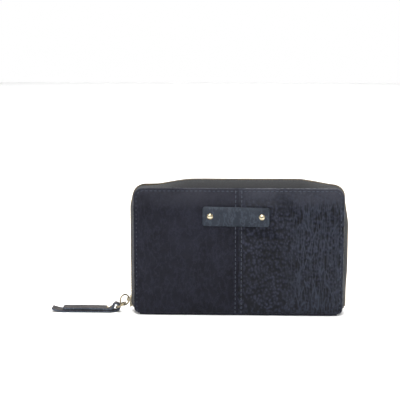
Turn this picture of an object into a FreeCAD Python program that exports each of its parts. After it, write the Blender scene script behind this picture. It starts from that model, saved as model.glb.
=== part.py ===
import FreeCAD, Part
import math
import os
import Sketcher

# A zip around wallet that stands on its spine. X runs along the spine, the front cover faces -Y, +Z is up,
# and the origin is the middle of the spine's underside. All sizes are in millimetres.

SIZES = [
    # the covers
    ("cover_width", 165.0),
    ("cover_height", 102.0),
    ("wallet_depth", 25.0),
    ("top_corner_radius", 8.0),
    ("bottom_corner_radius", 3.5),
    ("leather_thickness", 1.2),
    ("foam_thickness", 0.8),
    ("board_thickness", 0.8),
    ("lining_thickness", 0.4),
    ("card_panel_thickness", 0.4),
    ("card_panel_count", 4),
    ("card_panel_step", 13.0),
    ("inner_margin", 3.0),
    ("layer_gap", 0.02),
    ("moving_gap", 0.3),
    # the zip round the left, top and right edges
    ("zip_proud", 2.4),
    ("tape_thickness", 0.8),
    ("tape_inset", 0.2),
    ("tooth_pitch", 2.2),
    ("tooth_length", 1.1),
    ("tooth_thickness", 1.6),
    ("chain_width", 4.8),
    ("chain_gap", 0.8),
    ("zip_end_height", 16.0),
    # the label
    ("label_width", 52.5),
    ("label_height", 15.2),
    ("label_thickness", 1.6),
    ("label_corner_radius", 2.2),
    ("label_offset", 2.0),
    ("label_drop", 22.4),
    ("label_tilt", 1.0),
    ("rivet_diameter", 5.0),
    ("rivet_dome", 1.5),
    ("rivet_spacing", 40.4),
    # the coin pocket that divides the inside
    ("divider_inset", 7.5),
    ("divider_drop", 13.6),
    ("divider_depth", 6.0),
    ("divider_floor", 4.4),
    ("coin_wall", 0.8),
    ("coin_tape_thickness", 0.6),
    ("coin_chain_width", 2.4),
    ("coin_chain_gap", 0.6),
    ("coin_tooth_pitch", 2.0),
    ("coin_tooth_length", 1.2),
    ("coin_tooth_height", 1.2),
    ("coin_slider_length", 7.0),
    ("coin_plate", 0.6),
    ("coin_pull_length", 12.5),
    ("coin_pull_width", 4.0),
    ("coin_pull_thickness", 0.8),
    ("pin_diameter", 0.8),
    ("pin_wall", 0.45),
    ("lug_thickness", 0.5),
    ("gusset_height", 66.0),
    ("gusset_fold", 2.6),
    ("gusset_thickness", 0.5),
    # the slider and its pull
    ("slider_length", 9.4),
    ("slider_width", 7.0),
    ("slider_plate", 0.8),
    ("slider_floor", 3.4),
    ("slider_clearance", 0.2),
    ("slider_corner", 1.8),
    ("slider_post", 2.2),
    ("post_gap", 0.12),
    ("bail_share", 0.66),
    ("bail_wall", 0.7),
    ("bail_height", 2.2),
    ("ring_radius", 4.2),
    ("ring_wire", 1.4),
    ("ring_clearance", 0.25),
    ("ring_turn", 40.0),
    ("link_tilt", 27.0),
    ("link_rise", 0.6),
    ("link_shift", 0.7),
    ("strap_length", 53.4),
    ("strap_top_length", 46.0),
    ("strap_width", 10.0),
    ("strap_neck", 4.8),
    ("strap_thickness", 1.8),
    ("loop_radius", 3.0),
    ("loop_shift", -0.2),
    ("strap_rivet_setback", 8.6),
    ("strap_rivet_diameter", 4.5),
    ("strap_rivet_dome", 1.3),
]

doc = FreeCAD.newDocument("ZipAroundWallet")
sheet = doc.addObject("Spreadsheet::Sheet", "Sizes")
for row, (alias, number) in enumerate(SIZES, start=1):
    sheet.set(f"A{row}", alias)
    sheet.set(f"B{row}", str(number))
    sheet.setAlias(f"B{row}", alias)
doc.recompute()

SUB_PARTS = []
NEAR = 0.01  # places closer than this are the same place
LAP = 0.1  # how far pieces that are fused run into each other


def size(alias):
    """A driving size as a number."""
    return float(sheet.get(alias))


def worked(expression):
    """The number that an expression over the sheet's sizes gives."""
    return float(sheet.evalExpression(expression))


# Places that several pieces share, as expressions over the sheet.
HALF_WIDTH = "(Sizes.cover_width / 2)"
HALF_DEPTH = "(Sizes.wallet_depth / 2)"
HINGE_Y = "(Sizes.leather_thickness + Sizes.moving_gap - Sizes.wallet_depth / 2)"
HINGE_Z = "(Sizes.leather_thickness + Sizes.moving_gap)"
INNER_BOTTOM = "Sizes.inner_margin"
RIDGE = "(Sizes.cover_width / 2 + Sizes.zip_proud)"


def finish(node, label):
    """Name a sub-part and keep it for writing."""
    node.Label = label
    SUB_PARTS.append(node)
    return node


def origin_plane(body, role):
    """One of a body's own origin planes."""
    return next(o for o in body.Origin.OriginFeatures if o.Role == role)


def outline_sketch(body, name, edges, radii):
    """A rectangle in a body's XZ plane with rounded corners. edges are the left, right, bottom and top
    expressions. radii are the bottom and top corner expressions, or None for square corners."""
    sketch = body.newObject("Sketcher::SketchObject", name)
    sketch.AttachmentSupport = [(origin_plane(body, "XZ_Plane"), "")]
    sketch.MapMode = "FlatFace"
    left, right, bottom, top = [worked(edge) for edge in edges]
    low, high = [worked(radius) if radius else 0.0 for radius in radii]
    corners = [(left, bottom, low, 180), (right, bottom, low, 270), (right, top, high, 0), (left, top, high, 90)]
    turns = [(1, 1), (-1, 1), (-1, -1), (1, -1)]
    centres = [FreeCAD.Vector(x + sx * r, z + sz * r, 0) for (x, z, r, _), (sx, sz) in zip(corners, turns)]
    ends = []
    for (x, z, r, start), centre in zip(corners, centres):
        first, last = math.radians(start), math.radians(start + 90)
        ends.append(
            (
                centre + FreeCAD.Vector(r * math.cos(first), r * math.sin(first), 0),
                centre + FreeCAD.Vector(r * math.cos(last), r * math.sin(last), 0),
            )
        )
    for number in range(4):
        sketch.addGeometry(Part.LineSegment(ends[number][1], ends[(number + 1) % 4][0]), False)
    arcs = {}
    for number, (_, _, r, start) in enumerate(corners):
        if r:
            circle = Part.Circle(centres[number], FreeCAD.Vector(0, 0, 1), r)
            arc = Part.ArcOfCircle(circle, math.radians(start), math.radians(start + 90))
            arcs[number] = sketch.addGeometry(arc, False)
    for number in range(4):
        before = (number - 1) % 4
        if number in arcs:
            sketch.addConstraint(Sketcher.Constraint("Tangent", before, 2, arcs[number], 1))
            sketch.addConstraint(Sketcher.Constraint("Tangent", arcs[number], 2, number, 1))
        else:
            sketch.addConstraint(Sketcher.Constraint("Coincident", before, 2, number, 1))
    for number, direction in enumerate(("Horizontal", "Vertical", "Horizontal", "Vertical")):
        sketch.addConstraint(Sketcher.Constraint(direction, number))
    places = [("DistanceX", 3, edges[0], left), ("DistanceX", 1, edges[1], right)]
    places += [("DistanceY", 0, edges[2], bottom), ("DistanceY", 2, edges[3], top)]
    for kind, line, expression, number in places:
        index = sketch.addConstraint(Sketcher.Constraint(kind, -1, 1, line, 1, number))
        sketch.setExpression(f"Constraints[{index}]", expression)
    for pair, radius in (((0, 1), radii[0]), ((2, 3), radii[1])):
        if radius:
            index = sketch.addConstraint(Sketcher.Constraint("Radius", arcs[pair[0]], worked(radius)))
            sketch.setExpression(f"Constraints[{index}]", radius)
            sketch.addConstraint(Sketcher.Constraint("Equal", arcs[pair[0]], arcs[pair[1]]))
    return sketch


def panel(label, edges, front, thickness, radii=(None, None)):
    """A flat piece of leather, board or cloth, its front face at y = front and its thickness going back."""
    body = doc.addObject("PartDesign::Body", label)
    sketch = outline_sketch(body, f"{label}_outline", edges, radii)
    pad = body.newObject("PartDesign::Pad", f"{label}_pad")
    pad.Profile = sketch
    pad.Length = worked(thickness)
    pad.setExpression("Length", thickness)
    pad.Reversed = True
    sketch.Visibility = False
    body.setExpression("Placement.Base.y", front)
    return finish(body, label)


def block(name, x, y, z):
    """A Part::Box between two expressions along each axis."""
    box = doc.addObject("Part::Box", name)
    for side, axis, (low, high) in (("Length", "x", x), ("Width", "y", y), ("Height", "z", z)):
        box.setExpression(side, f"({high}) - ({low})")
        box.setExpression(f"Placement.Base.{axis}", low)
    return box


def put(label, shape):
    """A sub-part whose shape is made here from the sheet's sizes."""
    feature = doc.addObject("Part::Feature", label)
    feature.Shape = shape
    feature.Placement = shape.Placement
    return finish(feature, label)


# ---- covers: leather, foam, board, lining and card panels, from the outside in

LAYERS = ["leather_thickness", "foam_thickness", "board_thickness", "lining_thickness"]


def layer_depth(count, panels=0):
    """How far in from the outside face the first few layers, and some card panels, reach."""
    parts = [f"Sizes.{name} + Sizes.layer_gap" for name in LAYERS[:count]]
    parts += [f"{panels} * (Sizes.card_panel_thickness + Sizes.layer_gap)"]
    return "(" + " + ".join(parts) + ")"


def layer_front(side, depth, thickness):
    """The front face of a layer that starts at a depth under the outside face. side is front or back."""
    if side == "front":
        return f"({depth}) - {HALF_DEPTH}"
    return f"{HALF_DEPTH} - ({depth}) - {thickness}"


def inset_edges(margin, bottom, top):
    """Left, right, bottom and top of a layer that stops a margin inside the cover's edge."""
    return (f"({margin}) - {HALF_WIDTH}", f"{HALF_WIDTH} - ({margin})", bottom, top)


def corner_edges(shape, x, z, deep):
    """The edges through the thickness of a flat piece at its outer corner x, z."""
    through = [e for e in shape.Edges if abs(e.Length - deep) < NEAR]
    outer = [e for e in through if abs(abs(e.CenterOfMass.x) - x) < NEAR]
    return [e for e in outer if abs(e.CenterOfMass.z - z) < NEAR]


def cover_leather():
    """The outer leather: one panel at the back, two that meet at the middle seam in front."""
    radii = ("Sizes.bottom_corner_radius", "Sizes.top_corner_radius")
    edges = (f"0 - {HALF_WIDTH}", HALF_WIDTH, "0", "Sizes.cover_height")
    thickness = "Sizes.leather_thickness"
    panel("back_leather", edges, layer_front("back", "0", thickness), thickness, radii)
    front = worked(layer_front("front", "0", thickness))
    width, top, deep = size("cover_width"), size("cover_height"), size("leather_thickness")
    bottom, seam = worked(HINGE_Z), size("layer_gap") / 2
    for name, x in (("left", -width / 2), ("right", seam)):
        half = Part.makeBox(width / 2 - seam, deep, top - bottom, FreeCAD.Vector(x, front, bottom))
        shape = half.makeFillet(size("top_corner_radius"), corner_edges(half, width / 2, top, deep))
        low = corner_edges(shape, width / 2, bottom, deep)
        put(f"front_leather_{name}", shape.makeFillet(size("bottom_corner_radius"), low))


def cover_layers(side):
    """Foam, board and lining of one cover."""
    top = f"Sizes.cover_height - {INNER_BOTTOM}"
    radii = ("1", "Sizes.top_corner_radius - Sizes.inner_margin + 1")
    for count, name in enumerate(("foam", "board", "lining"), start=1):
        thickness = f"Sizes.{name}_thickness"
        front = layer_front(side, layer_depth(count), thickness)
        panel(f"{side}_{name}", inset_edges(INNER_BOTTOM, INNER_BOTTOM, top), front, thickness, radii)


def card_panels(side):
    """The card slots of one cover: panels that step down by one slot each towards the middle."""
    thickness = "Sizes.card_panel_thickness"
    for number in range(int(size("card_panel_count"))):
        top = f"Sizes.cover_height - 2 * Sizes.inner_margin - {number + 1} * Sizes.card_panel_step"
        front = layer_front(side, layer_depth(4, number), thickness)
        edges = inset_edges(f"{INNER_BOTTOM} + 0.5", f"{INNER_BOTTOM} + 0.5", top)
        panel(f"{side}_card_panel_{number + 1}", edges, front, thickness, ("0.8", "1.5"))


def spine():
    """The strip of leather under the wallet that joins the covers, and its lining."""
    back = f"{HALF_DEPTH} - Sizes.leather_thickness - Sizes.layer_gap"
    radius = "Sizes.bottom_corner_radius"
    outside = (f"{radius} - {HALF_WIDTH}", f"{HALF_WIDTH} - {radius}")
    leather = block("spine_leather", outside, (f"{HINGE_Y} + 0.2", back), ("0", "Sizes.leather_thickness"))
    finish(leather, "spine_leather")
    low = "Sizes.leather_thickness + Sizes.layer_gap"
    depth = layer_depth(4, 4)
    across = (f"{depth} - {HALF_DEPTH} + Sizes.moving_gap", f"{HALF_DEPTH} - {depth} - Sizes.moving_gap")
    inside = (f"{INNER_BOTTOM} - {HALF_WIDTH}", f"{HALF_WIDTH} - {INNER_BOTTOM}")
    finish(block("spine_lining", inside, across, (low, f"{low} + Sizes.lining_thickness")), "spine_lining")


# ---- the zip: two tapes that lean out to a ridge, with a row of teeth on each

TAPE_EDGE = "(Sizes.chain_width / 2 + 0.1)"
TAPE_ROOT = f"({HALF_DEPTH} - Sizes.leather_thickness - Sizes.layer_gap)"


def arch(offset, radius_more, bottom, y):
    """A closed wire in the plane y: the covers' outline let out by offset, square at the bottom."""
    half = size("cover_width") / 2 + offset
    top = size("cover_height") + offset
    radius = size("top_corner_radius") + radius_more
    mid = radius * math.sqrt(0.5)
    left, right, high = radius - half, half - radius, top - radius

    def at(x, z):
        return FreeCAD.Vector(x, y, z)

    edges = [
        Part.makeLine(at(-half, bottom), at(-half, high)),
        Part.Arc(at(-half, high), at(left - mid, high + mid), at(left, top)).toShape(),
        Part.makeLine(at(left, top), at(right, top)),
        Part.Arc(at(right, top), at(right + mid, high + mid), at(half, high)).toShape(),
        Part.makeLine(at(half, high), at(half, bottom)),
        Part.makeLine(at(half, bottom), at(-half, bottom)),
    ]
    return Part.Wire(edges)


def tape_offsets():
    """How far the tape's outer face stands out from the covers' edge, at its root and at its free edge."""
    half = size("tape_thickness") / 2
    return -size("tape_inset"), size("zip_proud") + half


def tape_band(bottom, side):
    """The tape of one cover: a band round the left, top and right edges."""
    root, edge = worked(TAPE_ROOT), worked(TAPE_EDGE)
    root_offset, edge_offset = tape_offsets()
    thick = size("tape_thickness")
    below = bottom - 1.0
    solids = []
    for less, low in ((0.0, bottom), (thick, below)):
        wires = [
            arch(root_offset - less, root_offset - less, low, side * root),
            arch(edge_offset - less, edge_offset - less, low, side * edge),
        ]
        solids.append(Part.makeLoft(wires, True, True))
    return solids[0].cut(solids[1])


def tape_end(sign, low, high):
    """A straight stretch of the front tape by the spine, at the left or the right edge."""
    root, edge = worked(TAPE_ROOT), worked(TAPE_EDGE)
    root_offset, edge_offset = tape_offsets()
    thick, half = size("tape_thickness"), size("cover_width") / 2
    section = [(half + root_offset, -root), (half + edge_offset, -edge)]
    section += [(half + edge_offset - thick, -edge), (half + root_offset - thick, -root)]
    points = [FreeCAD.Vector(sign * x, y, low) for x, y in section]
    face = Part.Face(Part.makePolygon(points + points[:1]))
    return face.extrude(FreeCAD.Vector(0, 0, high - low))


def ridge_path():
    """The half width, the height and the corner radius of the ridge."""
    half = worked(RIDGE)
    top = size("cover_height") + size("zip_proud")
    radius = size("top_corner_radius") + size("zip_proud")
    return half, top, radius


def ridge_point(distance):
    """The place and outward angle of a point on the ridge, a distance from the spine up the left edge."""
    half, top, radius = ridge_path()
    rise, turn, run = top - radius, math.pi / 2 * radius, 2 * (half - radius)
    if distance <= rise:
        return -half, distance, math.pi
    distance -= rise
    if distance <= turn:
        angle = math.pi - distance / radius
        return radius - half + radius * math.cos(angle), rise + radius * math.sin(angle), angle
    distance -= turn
    if distance <= run:
        return radius - half + distance, top, math.pi / 2
    distance -= run
    if distance <= turn:
        angle = math.pi / 2 - distance / radius
        return half - radius + radius * math.cos(angle), rise + radius * math.sin(angle), angle
    return half, rise - (distance - turn), 0.0


def ridge_length():
    """The length of the ridge from spine to spine."""
    half, top, radius = ridge_path()
    return 2 * (top - radius) + math.pi * radius + 2 * (half - radius)


def tooth(place, side):
    """One tooth at a place on the ridge, on the front (-1) or back (1) tape."""
    x, z, angle = place
    reach = (size("chain_width") - size("chain_gap")) / 2
    box = Part.makeBox(size("tooth_thickness"), reach, size("tooth_length"))
    box.translate(FreeCAD.Vector(-size("tooth_thickness") / 2, size("chain_gap") / 2, -size("tooth_length") / 2))
    if side < 0:
        box.rotate(FreeCAD.Vector(0, 0, 0), FreeCAD.Vector(1, 0, 0), 180)
    box.rotate(FreeCAD.Vector(0, 0, 0), FreeCAD.Vector(0, 1, 0), -math.degrees(angle))
    box.translate(FreeCAD.Vector(x, 0, z))
    return box


def teeth(side):
    """All the teeth of one tape, half a pitch apart from the other tape's, with their height above the floor."""
    pitch, length = size("tooth_pitch"), ridge_length()
    start = 2.5 * size("leather_thickness") + (0 if side > 0 else pitch / 2)
    count = int((length - 2 * start) / pitch) + 1
    places = [ridge_point(start + number * pitch) for number in range(count)]
    return [(place[1], tooth(place, side)) for place in places]


def zip_round():
    """Both tapes and their teeth. By the spine the front tape's ends stay with the spine."""
    low, split = 2.0 * size("leather_thickness"), size("zip_end_height")
    gap = size("moving_gap")
    put("zip_tape_back", tape_band(low, 1))
    put("zip_tape_front", tape_band(split + gap, -1))
    put("zip_tape_end_left", tape_end(-1, low, split))
    put("zip_tape_end_right", tape_end(1, low, split))
    half_tooth = size("tooth_length") / 2
    front, ends = [], []
    for height, solid in teeth(-1):
        if height - half_tooth > split + gap:
            front.append(solid)
        elif height + half_tooth < split:
            ends.append(solid)
    put("zip_teeth_back", Part.makeCompound([solid for _, solid in teeth(1)]))
    put("zip_teeth_front", Part.makeCompound(front))
    put("zip_teeth_ends", Part.makeCompound(ends))


# ---- the label and its rivets on the front cover

def tilted(shape, x, z):
    """shape turned with the label about the label's middle."""
    shape.rotate(FreeCAD.Vector(x, 0, z), FreeCAD.Vector(0, 1, 0), size("label_tilt"))
    return shape


def dome_rivet(diameter, dome, shank):
    """A rivet whose head is a shallow dome on the XY plane, with a shank of its own below."""
    radius = (diameter * diameter / 4 + dome * dome) / (2 * dome)
    ball = Part.makeSphere(radius, FreeCAD.Vector(0, 0, dome - radius))
    head = ball.common(Part.makeBox(diameter, diameter, dome, FreeCAD.Vector(-diameter / 2, -diameter / 2, 0)))
    pin = Part.makeCylinder(diameter / 5, shank, FreeCAD.Vector(0, 0, -shank))
    return head.fuse(pin).removeSplitter()


def label():
    """The plain leather label, fixed with a domed rivet at each end."""
    x, z = -size("label_offset"), size("cover_height") - size("label_drop")
    width, height, thick = size("label_width"), size("label_height"), size("label_thickness")
    front = -size("wallet_depth") / 2
    back = front - size("layer_gap")
    patch = Part.makeBox(width, thick, height, FreeCAD.Vector(x - width / 2, back - thick, z - height / 2))
    corners = [e for e in patch.Edges if abs(e.Length - thick) < NEAR]
    patch = patch.makeFillet(size("label_corner_radius"), corners)
    rivets = []
    for sign in (-1, 1):
        centre = FreeCAD.Vector(x + sign * size("rivet_spacing") / 2, back - thick, z)
        hole = Part.makeCylinder(size("rivet_diameter") / 5, thick, centre, FreeCAD.Vector(0, 1, 0))
        patch = patch.cut(hole)
        rivet = dome_rivet(size("rivet_diameter"), size("rivet_dome"), thick)
        rivet.rotate(FreeCAD.Vector(0, 0, 0), FreeCAD.Vector(1, 0, 0), 90)
        rivet.translate(centre)
        rivets.append(tilted(rivet, x, z))
    put("label_patch", tilted(patch, x, z))
    put("label_rivets", Part.makeCompound(rivets))


# ---- the coin pocket that divides the inside, with its own small zip

DIVIDER_HALF = "(Sizes.cover_width / 2 - Sizes.divider_inset)"
DIVIDER_FACE = "(Sizes.divider_depth / 2)"
DIVIDER_TOP = "(Sizes.cover_height - Sizes.divider_drop)"
COIN_TAPE_TOP = "(Sizes.cover_height - Sizes.divider_drop - 2)"


def coin_pocket():
    """Two walls, a base and two sides, open at the top under the coin zip."""
    edges = (f"0 - {DIVIDER_HALF}", DIVIDER_HALF, "Sizes.divider_floor", DIVIDER_TOP)
    wall = "Sizes.coin_wall"
    panel("coin_front_wall", edges, f"0 - {DIVIDER_FACE}", wall, ("1", "3"))
    panel("coin_back_wall", edges, f"{DIVIDER_FACE} - {wall}", wall, ("1", "3"))
    inside = (f"{wall} + Sizes.layer_gap - {DIVIDER_FACE}", f"{DIVIDER_FACE} - {wall} - Sizes.layer_gap")
    low = "Sizes.divider_floor + 1"
    base = block("coin_base", (f"2 - {DIVIDER_HALF}", f"{DIVIDER_HALF} - 2"), inside, (low, f"{low} + {wall}"))
    finish(base, "coin_base")
    above = (f"{low} + {wall} + Sizes.layer_gap", f"{COIN_TAPE_TOP} - Sizes.coin_tape_thickness - 0.1")
    left = (f"2 - {DIVIDER_HALF}", f"2 + {wall} - {DIVIDER_HALF}")
    right = (f"{DIVIDER_HALF} - 2 - {wall}", f"{DIVIDER_HALF} - 2")
    finish(block("coin_side_left", left, inside, above), "coin_side_left")
    finish(block("coin_side_right", right, inside, above), "coin_side_right")


def coin_zip():
    """Two tapes across the top of the coin pocket, each with a row of teeth."""
    ends = (f"4 - {DIVIDER_HALF}", f"{DIVIDER_HALF} - 4")
    wall_face = f"{DIVIDER_FACE} - Sizes.coin_wall - Sizes.layer_gap"
    edge = "Sizes.coin_chain_width / 2 + 0.05"
    height = (f"{COIN_TAPE_TOP} - Sizes.coin_tape_thickness", COIN_TAPE_TOP)
    finish(block("coin_tape_front", ends, (f"0 - ({wall_face})", f"0 - ({edge})"), height), "coin_tape_front")
    finish(block("coin_tape_back", ends, (edge, wall_face), height), "coin_tape_back")
    pitch, tooth_length = size("coin_tooth_pitch"), size("coin_tooth_length")
    reach = (size("coin_chain_width") - size("coin_chain_gap")) / 2
    middle = worked(COIN_TAPE_TOP) - size("coin_tape_thickness") / 2
    low, half = middle - size("coin_tooth_height") / 2, worked(DIVIDER_HALF) - 6
    inner = size("coin_chain_gap") / 2
    rows = []
    for shift, y in ((0, -inner - reach), (pitch / 2, inner)):
        for number in range(int(2 * half / pitch)):
            corner = FreeCAD.Vector(number * pitch + shift - half, y, low)
            rows.append(Part.makeBox(tooth_length, reach, size("coin_tooth_height"), corner))
    put("coin_teeth", Part.makeCompound(rows))


def coin_slider():
    """The coin zip's slider at its closed end, with a pull that lies along the top."""
    length, plate = size("coin_slider_length"), size("coin_plate")
    half_width = size("coin_chain_width") / 2 + 0.3
    middle = worked(COIN_TAPE_TOP) - size("coin_tape_thickness") / 2
    reach = size("coin_tooth_height") / 2 + size("slider_clearance")
    x = worked(DIVIDER_HALF) - 7 - length
    deck = middle + reach + plate
    body = Part.makeBox(length, 2 * half_width, plate, FreeCAD.Vector(x, -half_width, middle - reach - plate))
    top = Part.makeBox(length, 2 * half_width, plate, FreeCAD.Vector(x, -half_width, middle + reach))
    gap, post_length = size("coin_chain_gap") / 2 - size("post_gap"), 2.0
    corner = FreeCAD.Vector(x + length - post_length, -gap, middle - reach - LAP)
    body = body.fuse([top, Part.makeBox(post_length, 2 * gap, 2 * (reach + LAP), corner)])
    pin_radius, lug, lug_half = size("pin_diameter") / 2, size("lug_thickness"), 1.0
    width, thick = size("coin_pull_width"), size("coin_pull_thickness")
    barrel_radius = pin_radius + size("pin_wall")
    pin_x, pin_z = x + length / 2, deck + barrel_radius + 0.15
    lug_gap = width / 4 + 0.15
    for y in (-lug_gap - lug, lug_gap):
        corner = FreeCAD.Vector(pin_x - lug_half, y, deck - LAP)
        body = body.fuse(Part.makeBox(2 * lug_half, lug, pin_z + pin_radius + 0.3 - deck, corner))
    across = FreeCAD.Vector(0, 1, 0)
    start = FreeCAD.Vector(pin_x, -lug_gap - lug, pin_z)
    pin = Part.makeCylinder(pin_radius, 2 * (lug_gap + lug), start, across)
    put("coin_slider", body.fuse(pin).removeSplitter())
    barrel = Part.makeCylinder(barrel_radius, width / 2, FreeCAD.Vector(pin_x, -width / 4, pin_z), across)
    neck_length, tab_start = 3.5, 3.2
    corner = FreeCAD.Vector(pin_x - neck_length, -width / 4, pin_z - thick / 2)
    neck = Part.makeBox(neck_length, width / 2, thick, corner)
    end = pin_x - size("coin_pull_length")
    corner = FreeCAD.Vector(end, -width / 2, pin_z - thick / 2)
    tab = Part.makeBox(size("coin_pull_length") - tab_start, width, thick, corner)
    rounded = [e for e in tab.Edges if abs(e.Length - thick) < NEAR and e.CenterOfMass.x < end + 1]
    tab = tab.makeFillet(width / 2 - 0.2, rounded)
    hole_radius = pin_radius + size("post_gap")
    hole = Part.makeCylinder(hole_radius, width, FreeCAD.Vector(pin_x, -width / 2, pin_z), across)
    put("coin_pull", barrel.fuse([neck, tab]).cut(hole).removeSplitter())


def gussets():
    """A folded gusset at each side, between the covers and past the ends of the coin pocket."""
    gap = 2 * size("moving_gap")
    depth = worked(f"{HALF_DEPTH} - {layer_depth(4, 4)}") - gap
    outer = size("cover_width") / 2 - size("inner_margin") - gap
    fold, thick, low = size("gusset_fold"), size("gusset_thickness"), size("divider_floor") + gap
    for name, sign in (("left", -1), ("right", 1)):
        line = [(outer, -depth), (outer - fold, -depth / 2), (outer, 0.0), (outer - fold, depth / 2), (outer, depth)]
        back = [(x - thick, y) for x, y in reversed(line)]
        points = [FreeCAD.Vector(sign * x, y, low) for x, y in line + back]
        face = Part.Face(Part.makePolygon(points + points[:1]))
        put(f"gusset_{name}", face.extrude(FreeCAD.Vector(0, 0, size("gusset_height"))))


# ---- the slider and its pull: a ring in the bail, a second ring, and a folded leather strap

def slider():
    """The slider at the left end of the zip: two plates, a post between the rows of teeth, and a bail."""
    ridge, half = worked(RIDGE), size("slider_width") / 2
    teeth_half = size("tooth_thickness") / 2 + size("slider_clearance")
    plate, length, low = size("slider_plate"), size("slider_length"), size("slider_floor")
    x = -ridge - teeth_half - plate
    outer = Part.makeBox(plate, 2 * half, length, FreeCAD.Vector(x, -half, low))
    inner = Part.makeBox(plate, 2 * half - 2, length, FreeCAD.Vector(-ridge + teeth_half, 1 - half, low))
    edges = [e for e in outer.Edges if abs(e.Length - plate) < NEAR]
    outer = outer.makeFillet(size("slider_corner"), edges)
    post_half = size("chain_gap") / 2 - size("post_gap")
    corner = FreeCAD.Vector(-ridge - teeth_half - LAP, -post_half, low + 0.4)
    post = Part.makeBox(2 * (teeth_half + LAP), 2 * post_half, size("slider_post"), corner)
    wall, height = size("bail_wall"), size("bail_height")
    hole = size("ring_wire") + 2 * size("ring_clearance")
    middle = low + length * size("bail_share")
    corner = FreeCAD.Vector(x - hole - wall, -hole / 2 - wall, middle - height / 2)
    arch_block = Part.makeBox(hole + wall + LAP, hole + 2 * wall, height, corner)
    rounded = [e for e in arch_block.Edges if abs(e.Length - height) < NEAR and e.CenterOfMass.x < x - hole]
    arch_block = arch_block.makeFillet(wall, rounded)
    window = Part.makeBox(hole, hole, height, FreeCAD.Vector(x - hole, -hole / 2, middle - height / 2))
    put("slider", outer.fuse([inner, post, arch_block.cut(window)]).removeSplitter())
    return FreeCAD.Vector(x - hole / 2, 0, middle)


def pull(eye):
    """Two rings and the strap, hung from the slider's bail at eye."""
    radius, wire = size("ring_radius"), size("ring_wire")
    turn, tilt = math.radians(size("ring_turn")), math.radians(size("link_tilt"))
    along = FreeCAD.Vector(math.cos(turn), math.sin(turn), 0)
    centre = eye - along * radius
    ring = Part.makeTorus(radius, wire / 2, FreeCAD.Vector(0, 0, 0), FreeCAD.Vector(-along.y, along.x, 0))
    ring.translate(centre)
    put("pull_ring", ring)
    down = centre - FreeCAD.Vector(0, 0, radius)
    right_end = down + FreeCAD.Vector(size("link_shift"), 0, wire + size("link_rise"))
    lean = FreeCAD.Vector(math.cos(tilt), 0, math.sin(tilt))
    link_centre = right_end - lean * radius
    link = Part.makeTorus(radius, wire / 2, FreeCAD.Vector(0, 0, 0), FreeCAD.Vector(-lean.z, 0, lean.x))
    link.translate(link_centre)
    put("link_ring", link)
    strap(link_centre - lean * radius)


def strap(hold):
    """One strip folded round the link ring, its two tails lying one on the other, held with a rivet."""
    thick, radius, half = size("strap_thickness"), size("loop_radius"), size("strap_width") / 2
    loop_x, y = hold.x + size("loop_shift"), hold.y
    low = thick / 2
    loop_z = low + radius
    rivet_x = loop_x - size("strap_rivet_setback") + radius
    upper = low + thick + size("layer_gap")
    lower_end, upper_end = loop_x + radius - size("strap_length"), loop_x + radius - size("strap_top_length")

    def at(x, z):
        return FreeCAD.Vector(x, 0, z)

    start = math.radians(100)
    lift = at(loop_x + radius * math.cos(start), loop_z + radius * math.sin(start))
    bend = at(rivet_x + size("strap_rivet_diameter") / 2 + 0.3 * thick + size("ring_clearance"), upper)
    path = Part.Wire(
        [
            Part.makeLine(at(lower_end, low), at(loop_x, low)),
            Part.Arc(at(loop_x, low), at(loop_x + radius, loop_z), lift).toShape(),
            Part.makeLine(lift, bend),
            Part.makeLine(bend, at(upper_end, upper)),
        ]
    )
    outline = Part.Face(path.makeOffset2D(thick / 2, 0, False, False, False))
    folded = outline.extrude(FreeCAD.Vector(0, 2 * half, 0))
    folded.translate(FreeCAD.Vector(0, y - half, 0))
    neck, tall = size("strap_neck") / 2, 4 * radius
    shoulder, narrow = rivet_x + 0.5 * half, rivet_x + 1.3 * half
    plan = [(lower_end - 1, half), (shoulder, half), (narrow, neck), (loop_x + 2 * radius, neck)]
    points = [FreeCAD.Vector(x, y + w, -1) for x, w in plan]
    points += [FreeCAD.Vector(x, y - w, -1) for x, w in reversed(plan)]
    face = Part.Face(Part.makePolygon(points + points[:1]))
    folded = folded.common(face.extrude(FreeCAD.Vector(0, 0, tall)))
    top = upper + thick / 2
    shank = Part.makeCylinder(size("strap_rivet_diameter") / 5, top, FreeCAD.Vector(rivet_x, y, 0))
    put("strap", folded.cut(shank))
    rivet = dome_rivet(size("strap_rivet_diameter"), size("strap_rivet_dome"), top - 0.2)
    rivet.translate(FreeCAD.Vector(rivet_x, y, top))
    put("strap_rivet", rivet)


def check_and_write():
    """Stop on any failed object or shape, then write each sub-part to its own file."""
    doc.recompute()
    for item in doc.Objects:
        if "Invalid" in item.State or "Error" in item.State:
            raise RuntimeError(f"{item.Name} failed: {item.State}")
    labels = [node.Label for node in SUB_PARTS]
    if len(set(labels)) != len(labels):
        raise RuntimeError("two sub-parts share a label")
    os.makedirs("parts", exist_ok=True)
    for node in SUB_PARTS:
        if node.Shape.isNull() or not node.Shape.isValid():
            raise RuntimeError(f"{node.Label} has no valid shape")
        node.Shape.exportStep(f"parts/{node.Label}.step")


cover_leather()
for cover in ("front", "back"):
    cover_layers(cover)
    card_panels(cover)
spine()
zip_round()
label()
coin_pocket()
coin_zip()
coin_slider()
gussets()
pull(slider())
check_and_write()
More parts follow.
